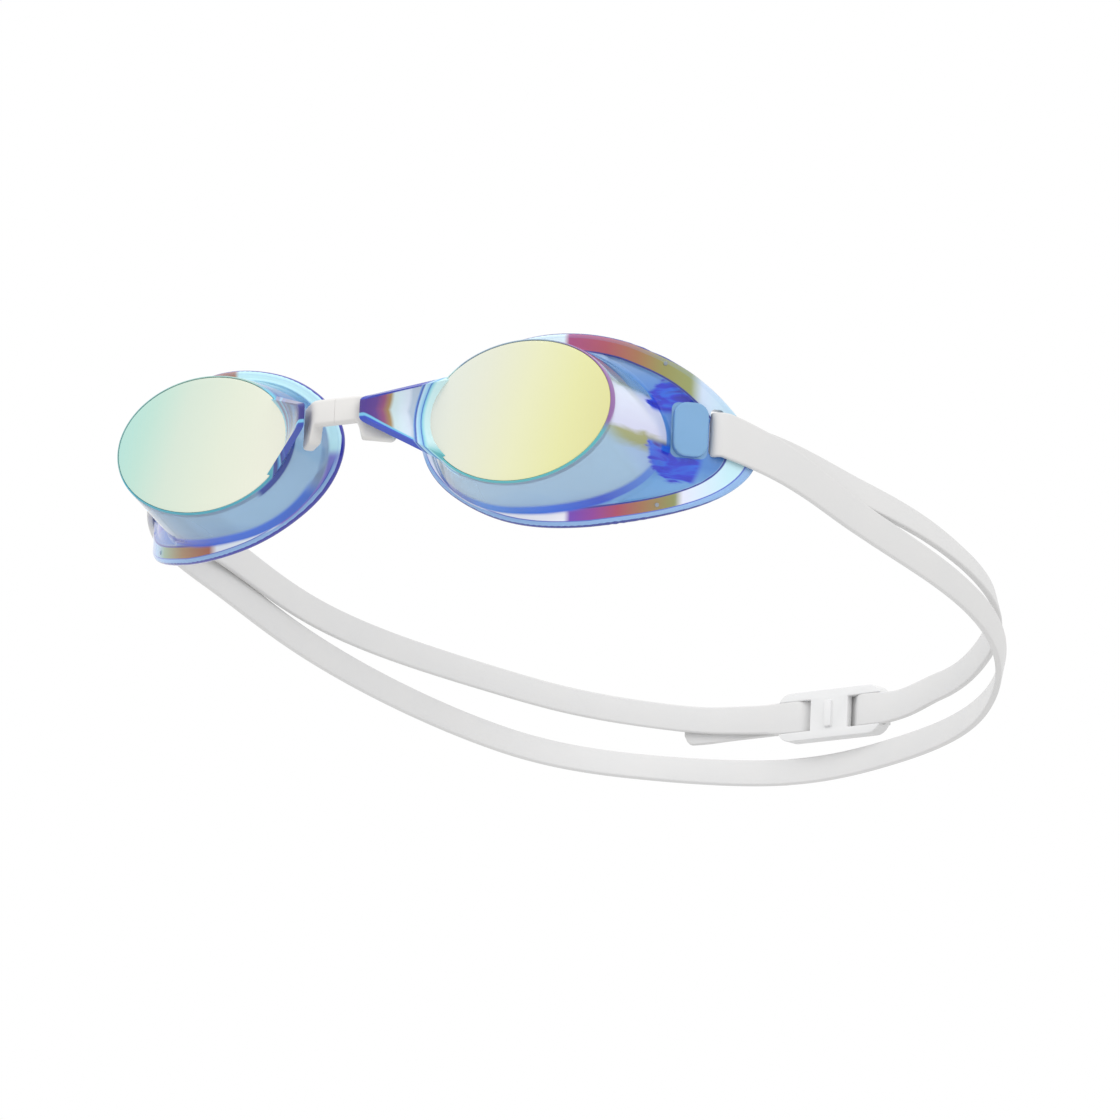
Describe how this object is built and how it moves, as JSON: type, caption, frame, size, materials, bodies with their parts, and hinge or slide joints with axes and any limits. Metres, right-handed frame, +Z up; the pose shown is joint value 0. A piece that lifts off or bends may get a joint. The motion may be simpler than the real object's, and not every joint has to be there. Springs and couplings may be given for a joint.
{
  "type": "swim goggles",
  "caption": "Racing swim goggles with two clear-blue cups, oval mirrored lenses, a soft nose belt and a double-strand strap with a slide buckle.",
  "frame": {"origin": "midway between the two lenses, on the plane of their front faces", "axes": "+Z up towards the brow, +Y back towards the head and the strap, +X towards the wearer's left"},
  "size_m": [0.1526, 0.171, 0.0552],
  "materials": {
    "cup_polycarbonate": "clear blue injection-moulded polycarbonate with a thin mirror coating",
    "lens_mirror": "polycarbonate with a bright pale-gold mirror coating",
    "strap_silicone": "smooth satin white silicone",
    "belt_silicone": "smooth satin white silicone",
    "buckle_plastic": "satin white moulded plastic"
  },
  "bodies": {
    "root": {"nose_belt_middle": "belt_silicone"},
    "left_cup": {"left_cup": "cup_polycarbonate", "left_lens": "lens_mirror", "left_nose_belt_end": "belt_silicone", "left_strap_loop": "strap_silicone"},
    "right_cup": {"right_cup": "cup_polycarbonate", "right_lens": "lens_mirror", "right_nose_belt_end": "belt_silicone", "right_strap_loop": "strap_silicone"},
    "lower_strand": {"lower_strap_back": "strap_silicone", "left_lower_strap_front": "strap_silicone", "right_lower_strap_front": "strap_silicone"},
    "upper_strand": {"left_upper_strap": "strap_silicone", "right_upper_strap": "strap_silicone", "strap_tail": "strap_silicone", "left_upper_strap_front": "strap_silicone", "right_upper_strap_front": "strap_silicone"},
    "buckle": {"strap_buckle": "buckle_plastic", "left_strap_weave": "strap_silicone", "right_strap_weave": "strap_silicone"}
  },
  "joints": [
    {"name": "left_cup_fold", "type": "hinge", "parent": "root", "child": "left_cup", "pos_m": [0.00365, -0.0063, 0.0016], "axis": [0, 0, 1], "range_deg": [-6, 8], "stiffness_Nm_per_rad": 0.02},
    {"name": "right_cup_fold", "type": "hinge", "parent": "root", "child": "right_cup", "pos_m": [-0.00365, -0.0063, 0.0016], "axis": [0, 0, -1], "range_deg": [-6, 8], "stiffness_Nm_per_rad": 0.02},
    {"name": "lower_strand_swing", "type": "hinge", "parent": "root", "child": "lower_strand", "pos_m": [0, 0.0295, -0.0014], "axis": [1, 0, 0], "range_deg": [-12, 0], "deforming": ["left_lower_strap_front", "right_lower_strap_front"]},
    {"name": "upper_strand_swing", "type": "hinge", "parent": "root", "child": "upper_strand", "pos_m": [0, 0.0295, -0.0014], "axis": [1, 0, 0], "range_deg": [0, 14], "deforming": ["left_upper_strap_front", "right_upper_strap_front"]},
    {"name": "buckle_slide", "type": "slide", "parent": "upper_strand", "child": "buckle", "axis": [-0.9879, 0.1551, 0], "range_m": [-0.006, 0.006], "deforming": ["left_strap_weave", "right_strap_weave"]}
  ]
}
